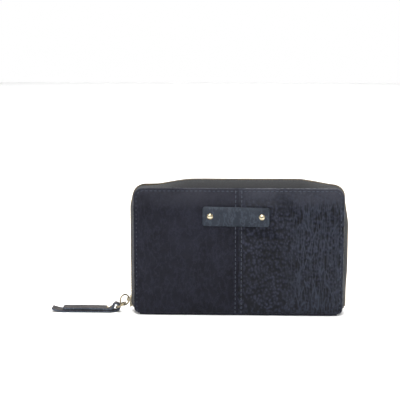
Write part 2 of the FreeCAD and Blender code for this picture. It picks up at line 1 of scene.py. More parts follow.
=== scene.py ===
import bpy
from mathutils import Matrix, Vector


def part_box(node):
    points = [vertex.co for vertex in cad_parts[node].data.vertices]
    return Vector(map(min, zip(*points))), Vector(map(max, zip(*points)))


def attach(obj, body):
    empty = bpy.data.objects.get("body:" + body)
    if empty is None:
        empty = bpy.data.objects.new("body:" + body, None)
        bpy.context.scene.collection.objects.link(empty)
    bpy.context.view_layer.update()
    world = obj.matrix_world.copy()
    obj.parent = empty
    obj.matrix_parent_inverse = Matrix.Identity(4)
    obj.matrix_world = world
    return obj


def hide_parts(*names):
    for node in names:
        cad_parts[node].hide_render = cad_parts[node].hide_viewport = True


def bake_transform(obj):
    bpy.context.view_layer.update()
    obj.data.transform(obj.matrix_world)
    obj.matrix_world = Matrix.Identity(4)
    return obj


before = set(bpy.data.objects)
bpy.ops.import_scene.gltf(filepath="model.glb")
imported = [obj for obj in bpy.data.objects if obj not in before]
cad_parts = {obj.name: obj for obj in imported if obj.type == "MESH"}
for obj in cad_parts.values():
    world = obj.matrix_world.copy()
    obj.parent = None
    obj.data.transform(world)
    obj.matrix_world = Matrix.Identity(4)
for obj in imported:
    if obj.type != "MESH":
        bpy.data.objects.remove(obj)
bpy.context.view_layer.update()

import math

import bmesh
import bpy
from mathutils import Vector, noise

MM = 0.001


# ---- Front and back covers ---------------------------------------------------------------------
# Each cover is padded leather over foam and board, turned in at its edge and sewn down round the
# left, top and right. The front is two panels that meet at a sewn seam: smooth on the left,
# pebbled and creased on the right.

cover_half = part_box("back_leather")[1][0] / MM
cover_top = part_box("back_leather")[1][2] / MM
cover_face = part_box("back_leather")[1][1] / MM
corner_top, corner_bottom = 8.0, 4.8
cover_bottom = 1.3
stitch_inset = 2.4
leather_depth = 1.16
puff_height = 2.3
seam_rows = 2.4
label_node_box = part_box("label_patch")
label_middle = [(label_node_box[0][i] + label_node_box[1][i]) / 2 / MM for i in range(3)]
label_half_width, label_half_height = 26.25, 7.6


def smooth(edge_low, edge_high, value):
    """0 before edge_low, 1 past edge_high, and an even ease between them."""
    part = min(max((value - edge_low) / (edge_high - edge_low), 0.0), 1.0)
    return part * part * (3 - 2 * part)


def steps(start, end, near, far, ease):
    """Places from start to end, near apart at both ends and far apart in between."""
    places, place = [start], start
    while place < end - 1e-6:
        gap = min(place - start, end - place)
        place += near + (far - near) * smooth(0, ease, gap)
        places.append(min(place, end))
    if len(places) > 2 and places[-1] - places[-2] < near * 0.6:
        places.pop(-2)
    return places


def round_corner(x, z, half, low, high, radius_low, radius_high):
    """Moves a point of a rectangle's grid so that the rectangle's corners become round."""
    radius = radius_high if z > (low + high) / 2 else radius_low
    centre_x = math.copysign(half - radius, x)
    centre_z = high - radius if z > (low + high) / 2 else low + radius
    across, up = x - centre_x, z - centre_z
    outside = abs(x) > half - radius and (z > high - radius or z < low + radius)
    length = math.hypot(across, up)
    if not outside or length < 1e-9:
        return x, z
    scale = max(abs(across), abs(up)) / length
    return centre_x + across * scale, centre_z + up * scale


def inset(x, z, half, low, high, radius_low, radius_high):
    """How far inside the rounded outline a point is."""
    radius = radius_high if z > (low + high) / 2 else radius_low
    middle, tall = (low + high) / 2, (high - low) / 2
    across, up = abs(x) - half + radius, abs(z - middle) - tall + radius
    return radius - math.hypot(max(across, 0), max(up, 0)) - min(max(across, up), 0)


def new_object(name, mesh_data, materials):
    """A mesh object at the origin with its materials, shaded smooth."""
    made = bpy.data.objects.new(name, mesh_data)
    bpy.context.collection.objects.link(made)
    for one in materials:
        mesh_data.materials.append(one)
    mesh_data.polygons.foreach_set("use_smooth", [True] * len(mesh_data.polygons))
    return made


def new_solid(name, shape, materials):
    """The closed surface in shape as an object, with its faces turned outwards."""
    bmesh.ops.recalc_face_normals(shape, faces=shape.faces)
    data = bpy.data.meshes.new(name)
    shape.to_mesh(data)
    shape.free()
    return new_object(name, data, materials)


def bridged(shape, rings):
    """Faces between each ring of points and the next: pairs of a face's place in its ring and the
    face."""
    around, faces = len(rings[0]), []
    for one, two in zip(rings, rings[1:]):
        for index in range(around):
            after = (index + 1) % around
            faces.append((index, shape.faces.new([one[index], one[after], two[after], two[index]])))
    return faces


def slab(name, columns, rows, place, out, back, side, materials, which=None):
    """A closed slab over a grid. place gives a point's x and z, out its front height, back the
    flat back's height. side is -1 for a face towards -Y. which picks a face's material."""
    shape = bmesh.new()
    layers = []
    for height in (out, lambda x, z: back):
        grid = []
        for row in rows:
            line = []
            for column in columns:
                x, z = place(column, row)
                line.append(shape.verts.new((x * MM, side * height(x, z) * MM, z * MM)))
            grid.append(line)
        layers.append(grid)
    high, wide = len(rows) - 1, len(columns) - 1
    for number, grid in enumerate(layers):
        for i in range(high):
            for j in range(wide):
                corners = [grid[i][j], grid[i][j + 1], grid[i + 1][j + 1], grid[i + 1][j]]
                face = shape.faces.new(corners if number == 0 else corners[::-1])
                if which and number == 0:
                    middle = face.calc_center_median() / MM
                    face.material_index = which(middle.x, middle.z)
    rim = [(0, j) for j in range(wide)] + [(i, wide) for i in range(high)]
    rim += [(high, j) for j in range(wide, 0, -1)] + [(i, 0) for i in range(high, 0, -1)]
    front, rear = layers
    for number, (i, j) in enumerate(rim):
        k, m = rim[(number + 1) % len(rim)]
        face = shape.faces.new([front[k][m], front[i][j], rear[i][j], rear[k][m]])
        if which:
            middle = face.calc_center_median() / MM
            face.material_index = which(middle.x, middle.z)
    return new_solid(name, shape, materials)


def node(tree, kind, **settings):
    """A node with its settings, and the values of the inputs that are given as in_NUMBER."""
    made = tree.nodes.new(kind)
    for key, value in settings.items():
        if key.startswith("in_"):
            made.inputs[int(key[3:])].default_value = value
        else:
            setattr(made, key, value)
    return made


def blank(name, roughness, specular, sheen=0.0, metallic=0.0):
    """A material with its Principled shader and Object coordinates."""
    made = bpy.data.materials.new(name)
    made.use_nodes = True
    tree = made.node_tree
    shader = tree.nodes["Principled BSDF"]
    shader.inputs["Roughness"].default_value = roughness
    shader.inputs["Specular IOR Level"].default_value = specular
    shader.inputs["Sheen Weight"].default_value = sheen
    shader.inputs["Metallic"].default_value = metallic
    place = node(tree, "ShaderNodeTexCoord")
    return made, tree, shader, place.outputs["Object"]


def ramp(tree, source, stops):
    """A colour ramp fed by source. stops are (position, colour)."""
    made = node(tree, "ShaderNodeValToRGB")
    elements = made.color_ramp.elements
    while len(elements) < len(stops):
        elements.new(0.5)
    for element, (position, colour) in zip(elements, stops):
        element.position = position
        element.color = (*colour, 1.0)
    tree.links.new(source, made.inputs["Fac"])
    return made.outputs["Color"]


def mixed(tree, share, one, other, blend_type="MIX"):
    """Two colours mixed. share is a number or an output."""
    made = node(tree, "ShaderNodeMix", data_type="RGBA", blend_type=blend_type)
    for socket, value in ((made.inputs[0], share), (made.inputs[6], one), (made.inputs[7], other)):
        if hasattr(value, "node"):
            tree.links.new(value, socket)
        elif isinstance(value, tuple):
            socket.default_value = (*value, 1.0)
        else:
            socket.default_value = value
    return made.outputs[2]


def scaled(tree, place, scale, turn=(0, 0, 0)):
    """Coordinates scaled and turned about the origin."""
    made = node(tree, "ShaderNodeMapping")
    made.inputs["Scale"].default_value = scale
    made.inputs["Rotation"].default_value = [math.radians(angle) for angle in turn]
    tree.links.new(place, made.inputs["Vector"])
    return made.outputs["Vector"]


def textured(tree, kind, place, output, **settings):
    """A texture node's output, read at place. A setting with a capital is one of its inputs."""
    inputs = {key: settings.pop(key) for key in list(settings) if key[0].isupper()}
    made = node(tree, kind, **settings)
    for key, value in inputs.items():
        made.inputs[key].default_value = value
    tree.links.new(place, made.inputs["Vector"])
    return made.outputs[output]


def bumped(tree, shader, heights):
    """Chains bumps: heights are (output, strength, distance in mm)."""
    normal = None
    for height, strength, distance in heights:
        made = node(tree, "ShaderNodeBump")
        made.inputs["Strength"].default_value = strength
        made.inputs["Distance"].default_value = distance * MM
        tree.links.new(height, made.inputs["Height"])
        if normal:
            tree.links.new(normal, made.inputs["Normal"])
        normal = made.outputs["Normal"]
    tree.links.new(normal, shader.inputs["Normal"])


def glossed(tree, shader, source, low, high):
    """Roughness that goes from low to high as source goes from 0 to 1."""
    gloss = node(tree, "ShaderNodeMapRange")
    gloss.inputs["To Min"].default_value, gloss.inputs["To Max"].default_value = low, high
    tree.links.new(source, gloss.inputs["Value"])
    tree.links.new(gloss.outputs["Result"], shader.inputs["Roughness"])


def rising(tree, place, axis, low, high):
    """0 up to low and 1 past high along an axis, in millimetres, with an even ease between."""
    split = node(tree, "ShaderNodeSeparateXYZ")
    tree.links.new(place, split.inputs[0])
    made = node(tree, "ShaderNodeMapRange", interpolation_type="SMOOTHSTEP")
    made.inputs["From Min"].default_value, made.inputs["From Max"].default_value = low * MM, high * MM
    tree.links.new(split.outputs[axis], made.inputs["Value"])
    return made.outputs["Result"]


def painted_top_highlight(tree, place, cloud, colour, pale):
    """The colour made paler in a broken band along the padded top edge: a painted highlight where the light
    from above falls on the padding.
    """
    patchy = ramp(tree, cloud, [(0.3, (0.35, 0.35, 0.35)), (0.65, (1, 1, 1))])
    # Painted highlight: from 82 mm to 99 mm up, the colour is lifted towards a paler grey, broken up by the
    # cloud.
    band = mixed(tree, rising(tree, place, "Z", 82, 99), (0.0, 0.0, 0.0), patchy)
    # The painted highlight's colour: the pale tone raised towards an even grey.
    highlight_grey = sum(pale) / 3
    return mixed(tree, band, colour, tuple(min(1.0, 1.2 * part + 0.9 * highlight_grey) for part in pale))


def leather(name, deep, pale, grain, pore_depth, crease_depth, rough=(0.42, 0.62)):
    """Leather with fine pores and soft creases, paler in the creases, and with a painted highlight in a
    band along the padded top edge.
    """
    made, tree, shader, place = blank(name, 0.5, 0.1)
    cloud = textured(tree, "ShaderNodeTexNoise", place, "Fac", Scale=42.0, Detail=5.0, Roughness=0.6)
    pore = textured(tree, "ShaderNodeTexVoronoi", place, "Distance", Scale=grain)
    fold_place = scaled(tree, place, (1.0, 1.0, 0.5), (0, 38, 0))
    soft = {"Detail": 4.0, "Roughness": 0.6}
    fold = textured(tree, "ShaderNodeTexNoise", fold_place, "Fac", Scale=230.0, **soft)
    folded = ramp(tree, fold, [(0.44, (0, 0, 0)), (0.49, (1, 1, 1)), (0.54, (0, 0, 0))])
    tone = ramp(tree, cloud, [(0.32, deep), (0.7, pale)])
    creases = mixed(tree, folded, tone, tuple(min(1.0, 1.9 * part) for part in pale))
    # Painted highlight: a paler band along the top edge, where the light from above falls on the padding.
    colour = painted_top_highlight(tree, place, cloud, mixed(tree, 0.45, tone, creases), pale)
    tree.links.new(colour, shader.inputs["Base Color"])
    glossed(tree, shader, cloud, *rough)
    bumped(tree, shader, [(cloud, 0.5, 1.6), (fold, crease_depth, 1.5), (pore, pore_depth, 0.3)])
    return made


def creased_leather(name, deep, pale, line):
    """Pebbled near the seam, with long upright cracks in a paler blue towards the outer edge."""
    made, tree, shader, place = blank(name, 0.5, 0.12)
    cloud = textured(tree, "ShaderNodeTexNoise", place, "Fac", Scale=60.0, Detail=5.0, Roughness=0.6)
    pebble_place = scaled(tree, place, (1.0, 1.0, 0.8), (0, 15, 0))
    pebble = textured(
        tree, "ShaderNodeTexVoronoi", pebble_place, "Distance", Scale=560.0, feature="SMOOTH_F1"
    )
    crack_place = scaled(tree, place, (1.0, 1.0, 0.12), (0, -4, 0))
    crack = textured(
        tree, "ShaderNodeTexVoronoi", crack_place, "Distance", Scale=430.0, feature="DISTANCE_TO_EDGE"
    )
    soft = {"Detail": 4.0, "Roughness": 0.6}
    fine = textured(tree, "ShaderNodeTexNoise", crack_place, "Fac", Scale=420.0, **soft)
    thin = ramp(tree, crack, [(0.0, (1, 1, 1)), (0.09, (0, 0, 0))])
    streak = ramp(tree, fine, [(0.5, (0, 0, 0)), (0.66, (1, 1, 1))])
    lines = mixed(tree, 0.5, thin, streak, "LIGHTEN")
    shown = mixed(tree, rising(tree, place, "X", 30, 52), (0.06, 0.06, 0.06), lines)
    tone = ramp(tree, cloud, [(0.3, deep), (0.7, pale)])
    grains = ramp(tree, pebble, [(0.12, (2.2, 2.2, 2.2)), (0.55, (0.3, 0.3, 0.3))])
    toned = mixed(tree, 0.9, tone, grains, "MULTIPLY")
    # Painted highlight: a paler band along the top edge, where the light from above falls on the padding.
    colour = painted_top_highlight(tree, place, cloud, mixed(tree, shown, toned, line), pale)
    tree.links.new(colour, shader.inputs["Base Color"])
    glossed(tree, shader, cloud, 0.28, 0.42)
    bumped(tree, shader, [(fine, 0.5, 0.9), (crack, 0.6, 0.8), (pebble, 0.9, 0.7)])
    return made


navy_smooth = leather(
    "navy leather smooth", (0.004, 0.0043, 0.0078), (0.0098, 0.0105, 0.0175), 1300.0, 0.8, 1.0, (0.32, 0.46)
)
navy_creased = creased_leather(
    "navy leather creased", (0.0045, 0.0052, 0.0095), (0.0125, 0.014, 0.0225), (0.024, 0.029, 0.043)
)


def wrinkle(x, z):
    """Soft large folds: slanting on the left panel, upright on the right one."""
    if x < 0:
        along = (x * 0.8 + z * 0.6) * 0.09
        return 0.22 * noise.noise(Vector((along, (z - x) * 0.02, 3.1)))
    amount = 0.12 + 0.2 * smooth(35, 55, x)
    return amount * noise.noise(Vector((x * 0.32, z * 0.045, 7.7)))


def cover_height(x, z, has_seam):
    """How far the leather stands out from the cover's flat face."""
    outline = (cover_half, cover_bottom, cover_top, corner_bottom, corner_top)
    edge = inset(x, z, *outline)
    sewn = inset(x, z, cover_half, cover_bottom - 40, cover_top, 1.0, corner_top)
    roll = 1.15
    drop = roll - math.sqrt(max(roll**2 - max(roll - max(edge, 0.0), 0.0) ** 2, 0.0))
    groove = 0.42 * math.exp(-(((sewn - stitch_inset) / 0.55) ** 2))
    puff = puff_height * (1 - math.exp(-max(sewn - stitch_inset - 0.3, 0.0) / 8.0))
    puff *= 1 - math.exp(-max(edge, 0.0) / 3.0)
    if has_seam:
        side = abs(x)
        puff *= 0.25 + 0.75 * (1 - math.exp(-max(side - seam_rows, 0.0) / 3.5))
        groove += 0.5 * math.exp(-((side / 0.4) ** 2))
        groove += 0.28 * math.exp(-(((side - seam_rows) / 0.45) ** 2))
        beside, above = abs(x - label_middle[0]), abs(z - label_middle[2])
        under = max(beside - label_half_width, above - label_half_height)
        puff = min(puff, 0.75 + 1.6 * smooth(-1.0, 10.0, under))
        puff += wrinkle(x, z) * smooth(3.0, 8.0, edge) * smooth(0.0, 4.0, under)
    else:
        puff += 0.7 * wrinkle(-abs(x), z) * smooth(3.0, 8.0, edge)
    return cover_face - drop - groove + puff


def cover(name, side, materials, has_seam, which=None):
    """One padded cover as a closed slab."""
    half = steps(0.0, cover_half, 0.3, 1.5, 6.0)
    columns = [-x for x in reversed(half[1:])] + half
    rows = steps(cover_bottom, cover_top, 0.35, 1.5, 7.0)

    def place(x, z):
        return round_corner(x, z, cover_half, cover_bottom, cover_top, corner_bottom, corner_top)

    def out(x, z):
        return cover_height(x, z, has_seam)

    return slab(name, columns, rows, place, out, cover_face - leather_depth, side, materials, which)


front_leathers = [navy_smooth, navy_creased]
front_cover = cover("front_cover_leather", -1, front_leathers, True, lambda x, z: int(x > 0))
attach(front_cover, "front_cover")
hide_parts("front_leather_left", "front_leather_right")

back_cover = cover("back_cover_leather", 1, [navy_smooth], False)
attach(back_cover, "root")
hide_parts("back_leather")


# ---- Spine -------------------------------------------------------------------------------------
# One strip of the same leather, turned round the two bottom edges and glued under both covers.

spine_reach = 78.0
spine_thick = 0.95
spine_lip = 2.1
fold_radius = 1.5
fold_y = cover_face - fold_radius


def ribbon(name, line, thick, low, high, materials):
    """A strip that thins at both ends: line is its outer side in Y and Z, and it runs along X."""
    count, end_taper = 60, 1.2
    shape = bmesh.new()
    rings = []
    for number in range(count + 1):
        x = low + (high - low) * number / count
        gap = min(x - low, high - x)
        pinch = 1 - 0.5 * max(1 - gap / end_taper, 0.0) ** 2
        ring = []
        for share in (0.0, 1.0):
            points = line if share == 0 else line[::-1]
            for index, (y, z) in enumerate(points):
                at = index if share == 0 else len(line) - 1 - index
                before, after = line[max(at - 1, 0)], line[min(at + 1, len(line) - 1)]
                run = Vector((after[0] - before[0], after[1] - before[1])).normalized()
                inward = Vector((-run.y, run.x)) * (thick * (share * pinch + 0.5 * (1 - pinch)))
                ring.append(shape.verts.new((x * MM, (y + inward.x) * MM, (z + inward.y) * MM)))
        rings.append(ring)
    bridged(shape, rings)
    shape.faces.new(rings[0][::-1])
    shape.faces.new(rings[-1])
    return new_solid(name, shape, materials)


def fold(side, start, end, count=9):
    """Points of a turned bottom edge, from one angle to another, at the front (-1) or back (1)."""
    points = []
    for number in range(count + 1):
        angle = math.radians(start + (end - start) * number / count)
        y = side * (fold_y + fold_radius * math.sin(angle))
        points.append((y, fold_radius * (1 - math.cos(angle))))
    return points


front_lip = [(-cover_face, spine_lip), (-cover_face, (spine_lip + fold_radius) / 2)]
under = [(-fold_y + 2 * fold_y * number / 14, 0.0) for number in range(1, 14)]
spine_line = front_lip + fold(-1, 90, 0) + under + fold(1, 0, 90) + [(-y, z) for y, z in front_lip[::-1]]
spine = ribbon("spine_leather_strip", spine_line, spine_thick, -spine_reach, spine_reach, [navy_smooth])
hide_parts("spine_leather")
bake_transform(spine)


# ---- Zip tapes ---------------------------------------------------------------------------------
# Two woven herringbone tapes, sewn in under the covers' edges and leaning out to the ridge where
# the teeth are. By the spine they taper in and are sewn down, so there the front one stays put.

tape_root = cover_face - 1.25
tape_edge = 0.95
tape_thick = 0.8
tape_in, tape_out = 0.25, 2.8


def lean(z):
    """The share of its reach that the zip has at a height: it tapers in to the spine."""
    return smooth(0.0, 6.5, z)


def swell(x, z):
    """The zip's bulge at a place, as a share: least at the corners, most in the middle of the top."""
    top = 1.7 * (1 - smooth(40, 76, abs(x - 5)))
    if x > 0:
        sides = (0.75 + 0.35 * smooth(16, 40, z)) * (1 - smooth(70, 94, z))
    else:
        sides = 0.75 * (1 - smooth(85, 97, z))
    return lean(z) * (0.25 + top + sides)


def zip_path(spacing=1.5, low=3.0):
    """The covers' outline up the left, over the top and down the right: x, z, outward x and z. Its
    ends are tucked in by the spine."""
    points = []

    def edge(z):
        return cover_half - 1.5 * (1 - smooth(2, 7, z))

    high, flat = cover_top - corner_top, cover_half - corner_top
    rise, run = int((high - low) / spacing), int(2 * flat / spacing)
    for number in range(rise):
        z = low + (high - low) * number / rise
        points.append((-edge(z), z, -1.0, 0.0))
    for centre, start in ((-flat, 180), (flat, 90)):
        for number in range(13):
            angle = math.radians(start - 90 * number / 12)
            across, up = math.cos(angle), math.sin(angle)
            points.append((centre + corner_top * across, high + corner_top * up, across, up))
        if centre < 0:
            for number in range(1, run):
                points.append((-flat + 2 * flat * number / run, cover_top, 0.0, 1.0))
    for number in range(1, rise + 1):
        z = high - (high - low) * number / rise
        points.append((edge(z), z, 1.0, 0.0))
    return points


def tape(name, side, materials):
    """One tape as a closed band with a UV map that runs along and across it, in millimetres."""
    path, ways = zip_path(), 9
    shape = bmesh.new()
    layer = shape.loops.layers.uv.new("weave")
    section = []
    for number in range(ways + 1):
        share = number / ways
        out = tape_out * share - tape_in * (1 - share) + 0.35 * math.sin(math.pi * share)
        section.append((out, tape_root + (tape_edge - tape_root) * share))
    rings, length, before = [], 0.0, None
    for x, z, across, up in path:
        length += math.hypot(x - before[0], z - before[1]) if before else 0.0
        before = (x, z)
        ripple = 0.12 * noise.noise(Vector((length * 0.11, side * 3.0, 0.5)))
        ring = []
        for skin in (0.0, tape_thick):
            points = section if skin == 0.0 else section[::-1]
            for out, y in points:
                stand = (out + tape_in + ripple) * swell(x, z) - tape_in - skin
                spot = ((x + across * stand) * MM, side * y * MM, (z + up * stand) * MM)
                ring.append((shape.verts.new(spot), (length, y)))
        rings.append(ring)
    around = len(rings[0])
    for one, two in zip(rings, rings[1:]):
        for index in range(around):
            after = (index + 1) % around
            corners = [one[index], two[index], two[after], one[after]]
            face = shape.faces.new([corner[0] for corner in corners])
            for loop, corner in zip(face.loops, corners):
                loop[layer].uv = corner[1]
    for ring in (rings[0], rings[-1][::-1]):
        shape.faces.new([corner[0] for corner in ring])
    return new_solid(name, shape, materials)


def herringbone(name, deep, pale):
    """Twill that turns every 1.5 mm across the tape, read from the tape's own UV map."""
    made, tree, shader, _ = blank(name, 0.85, 0.2, sheen=0.06)
    weave = node(tree, "ShaderNodeUVMap", uv_map="weave")
    split = node(tree, "ShaderNodeSeparateXYZ")
    tree.links.new(weave.outputs["UV"], split.inputs[0])
    bend = node(tree, "ShaderNodeMath", operation="PINGPONG", in_1=1.5)
    tree.links.new(split.outputs["Y"], bend.inputs[0])
    slant = node(tree, "ShaderNodeMath", operation="ADD")
    tree.links.new(split.outputs["X"], slant.inputs[0])
    tree.links.new(bend.outputs[0], slant.inputs[1])
    wave = node(tree, "ShaderNodeMath", operation="MULTIPLY", in_1=7.5)
    tree.links.new(slant.outputs[0], wave.inputs[0])
    rib = node(tree, "ShaderNodeMath", operation="SINE")
    tree.links.new(wave.outputs[0], rib.inputs[0])
    speck = textured(tree, "ShaderNodeTexNoise", weave.outputs["UV"], "Fac", Scale=1.8, Detail=4.0)
    level = node(tree, "ShaderNodeMapRange")
    level.inputs["From Min"].default_value = -1.0
    tree.links.new(rib.outputs[0], level.inputs["Value"])
    tone = ramp(tree, level.outputs["Result"], [(0.1, deep), (0.9, pale)])
    dirt = ramp(tree, speck, [(0.35, (0.7, 0.7, 0.7)), (0.7, (1.15, 1.15, 1.15))])
    colour = mixed(tree, 0.7, tone, dirt, "MULTIPLY")
    tree.links.new(colour, shader.inputs["Base Color"])
    bumped(tree, shader, [(speck, 0.2, 0.3), (level.outputs["Result"], 0.6, 0.18)])
    return made


tape_weave = herringbone("zip tape weave", (0.006, 0.0064, 0.0072), (0.024, 0.0245, 0.026))
front_tape = tape("zip_tape_front_woven", -1, [tape_weave])
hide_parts("zip_tape_front", "zip_tape_end_left", "zip_tape_end_right")
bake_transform(front_tape)

back_tape = tape("zip_tape_back_woven", 1, [tape_weave])
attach(back_tape, "root")
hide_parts("zip_tape_back")


# ---- Teeth -------------------------------------------------------------------------------------
# Stamped antique brass teeth clamped on the two tapes' edges, 2.2 mm apart, the front row about
# half a step on from the back one so that they mesh.

tooth_pitch = 2.2
tooth_y = 1.35
ridge_out = 2.4


def curve_of(name, points):
    """A curve of straight runs through points given in millimetres."""
    data = bpy.data.curves.new(name, "CURVE")
    data.dimensions = "3D"
    line = data.splines.new("POLY")
    line.points.add(len(points) - 1)
    for spot, point in zip(line.points, points):
        spot.co = (point[0] * MM, point[1] * MM, point[2] * MM, 1.0)
    made = bpy.data.objects.new(name, data)
    bpy.context.collection.objects.link(made)
    return made


def repeat(name, points, pitch, sizes, build, material):
    """A plain mesh of like pieces set along a line by Geometry Nodes. build adds one piece to the
    tree from its named sizes. A piece's Z runs along the line, and its Y towards the frame's Y."""
    tree = bpy.data.node_groups.new(f"{name} row", "GeometryNodeTree")
    face = tree.interface
    face.new_socket("Geometry", in_out="INPUT", socket_type="NodeSocketGeometry")
    face.new_socket("Geometry", in_out="OUTPUT", socket_type="NodeSocketGeometry")
    for label in ["Pitch", *sizes]:
        face.new_socket(label, in_out="INPUT", socket_type="NodeSocketFloat")
    enter, leave = tree.nodes.new("NodeGroupInput"), tree.nodes.new("NodeGroupOutput")
    evenly = node(tree, "GeometryNodeResampleCurve")
    evenly.mode = "LENGTH"
    tree.links.new(enter.outputs["Geometry"], evenly.inputs["Curve"])
    tree.links.new(enter.outputs["Pitch"], evenly.inputs["Length"])
    tangent = node(tree, "GeometryNodeInputTangent")
    along = node(tree, "FunctionNodeAlignRotationToVector", axis="Z")
    tree.links.new(tangent.outputs["Tangent"], along.inputs["Vector"])
    sideways = node(tree, "FunctionNodeAlignRotationToVector", axis="Y", pivot_axis="Z")
    sideways.inputs["Vector"].default_value = (0, 1, 0)
    tree.links.new(along.outputs["Rotation"], sideways.inputs["Rotation"])
    spots = node(tree, "GeometryNodeInstanceOnPoints")
    tree.links.new(evenly.outputs["Curve"], spots.inputs["Points"])
    tree.links.new(sideways.outputs["Rotation"], spots.inputs["Rotation"])
    tree.links.new(build(tree, enter), spots.inputs["Instance"])
    solid = node(tree, "GeometryNodeRealizeInstances")
    tree.links.new(spots.outputs["Instances"], solid.inputs["Geometry"])
    finish = node(tree, "GeometryNodeSetMaterial")
    finish.inputs["Material"].default_value = material
    tree.links.new(solid.outputs["Geometry"], finish.inputs["Geometry"])
    tree.links.new(finish.outputs["Geometry"], leave.inputs["Geometry"])
    guide = curve_of(f"{name} line", points)
    modifier = guide.modifiers.new("Row", "NODES")
    modifier.node_group = tree
    sockets = {item.name: item.identifier for item in face.items_tree if item.in_out == "INPUT"}
    modifier[sockets["Pitch"]] = pitch * MM
    for label, value in sizes.items():
        modifier[sockets[label]] = value * MM
    depsgraph = bpy.context.evaluated_depsgraph_get()
    data = bpy.data.meshes.new_from_object(guide.evaluated_get(depsgraph))
    guide.modifiers.remove(modifier)
    bpy.data.objects.remove(guide)
    data.name = name
    if material.name not in [slot.name for slot in data.materials if slot]:
        data.materials.append(material)
    made = bpy.data.objects.new(name, data)
    bpy.context.collection.objects.link(made)
    return made


def tooth_shape(tree, enter):
    """A clamp over the tape's edge with a rounded head at its free end."""
    corners = node(tree, "ShaderNodeCombineXYZ")
    for label, socket in (("Thickness", "X"), ("Reach", "Y"), ("Length", "Z")):
        tree.links.new(enter.outputs[label], corners.inputs[socket])
    clamp = node(tree, "GeometryNodeMeshCube")
    tree.links.new(corners.outputs[0], clamp.inputs["Size"])
    head = node(tree, "GeometryNodeMeshCylinder")
    head.inputs["Vertices"].default_value = 8
    tree.links.new(enter.outputs["Head radius"], head.inputs["Radius"])
    tree.links.new(enter.outputs["Head width"], head.inputs["Depth"])
    set_head = node(tree, "GeometryNodeTransform")
    set_head.inputs["Rotation"].default_value = (0, math.radians(90), 0)
    shift = node(tree, "ShaderNodeCombineXYZ")
    tree.links.new(enter.outputs["Head place"], shift.inputs["Y"])
    tree.links.new(shift.outputs[0], set_head.inputs["Translation"])
    tree.links.new(head.outputs["Mesh"], set_head.inputs["Geometry"])
    both = node(tree, "GeometryNodeJoinGeometry")
    tree.links.new(clamp.outputs["Mesh"], both.inputs[0])
    tree.links.new(set_head.outputs["Geometry"], both.inputs[0])
    return both.outputs[0]


def metal(name, deep, pale, rough=(0.28, 0.5), scale=300.0, coat=0.0):
    """Antiqued brass: darker in the hollows of its patina, brighter where it is rubbed."""
    made, tree, shader, place = blank(name, 0.35, 0.5, metallic=1.0)
    shader.inputs["Coat Weight"].default_value = coat
    patina = textured(tree, "ShaderNodeTexNoise", place, "Fac", Scale=scale, Detail=5.0, Roughness=0.65)
    fine = textured(tree, "ShaderNodeTexNoise", place, "Fac", Scale=scale * 6, Detail=3.0)
    tone = ramp(tree, patina, [(0.35, deep), (0.62, pale)])
    tree.links.new(tone, shader.inputs["Base Color"])
    glossed(tree, shader, patina, rough[1], rough[0])
    bumped(tree, shader, [(fine, 0.15, 0.05)])
    return made


tooth_metal = metal("antique tooth brass", (0.1, 0.075, 0.04), (0.34, 0.26, 0.15))


def row_of_teeth(name, side, material):
    """The teeth of the front (-1) or back (1) tape, along the ridge."""
    points = []
    for x, z, across, up in zip_path(spacing=0.6):
        stand = (ridge_out + tape_in) * swell(x, z) - tape_in
        points.append((x + across * stand, side * tooth_y, z + up * stand))
    if side < 0:
        points = points[2:]
    sizes = {"Thickness": 1.7, "Reach": 1.9, "Length": 0.95}
    sizes.update({"Head radius": 0.62, "Head width": 1.5, "Head place": -side * 0.85})
    return repeat(name, points, tooth_pitch, sizes, tooth_shape, material)


front_teeth = row_of_teeth("zip_teeth_front_row", -1, tooth_metal)
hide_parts("zip_teeth_front", "zip_teeth_ends")
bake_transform(front_teeth)

back_teeth = row_of_teeth("zip_teeth_back_row", 1, tooth_metal)
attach(back_teeth, "root")
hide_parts("zip_teeth_back")


# ---- Stitching ---------------------------------------------------------------------------------
# Waxed navy thread: one row round the left, top and right of each cover, and two rows beside the
# middle seam. Each stitch is a short fat strand that dips in at both ends.

stitch_pitch = 3.5
stitch_low = 3.5


def stitch_shape(tree, enter):
    """One stitch: a strand longer than it is thick."""
    ball = node(tree, "GeometryNodeMeshUVSphere")
    ball.inputs["Segments"].default_value = 8
    ball.inputs["Rings"].default_value = 6
    ball.inputs["Radius"].default_value = 1.0
    size = node(tree, "ShaderNodeCombineXYZ")
    for label, socket in (("Half width", "X"), ("Half height", "Y"), ("Half length", "Z")):
        tree.links.new(enter.outputs[label], size.inputs[socket])
    shaped = node(tree, "GeometryNodeTransform")
    tree.links.new(size.outputs[0], shaped.inputs["Scale"])
    tree.links.new(ball.outputs["Mesh"], shaped.inputs["Geometry"])
    return shaped.outputs["Geometry"]


def thread(name, deep, pale):
    """Twisted thread: slanting plies, slightly waxy."""
    made, tree, shader, place = blank(name, 0.5, 0.4, sheen=0.2)
    twisted = scaled(tree, place, (1, 1, 1), (0, 35, 0))
    ply = textured(tree, "ShaderNodeTexWave", twisted, "Fac", Scale=900.0)
    tree.links.new(ramp(tree, ply, [(0.2, deep), (0.8, pale)]), shader.inputs["Base Color"])
    bumped(tree, shader, [(ply, 0.4, 0.08)])
    return made


navy_thread = thread("navy thread", (0.010, 0.014, 0.026), (0.030, 0.040, 0.066))
stitch_sizes = {"Half width": 0.36, "Half height": 0.34, "Half length": 1.35}


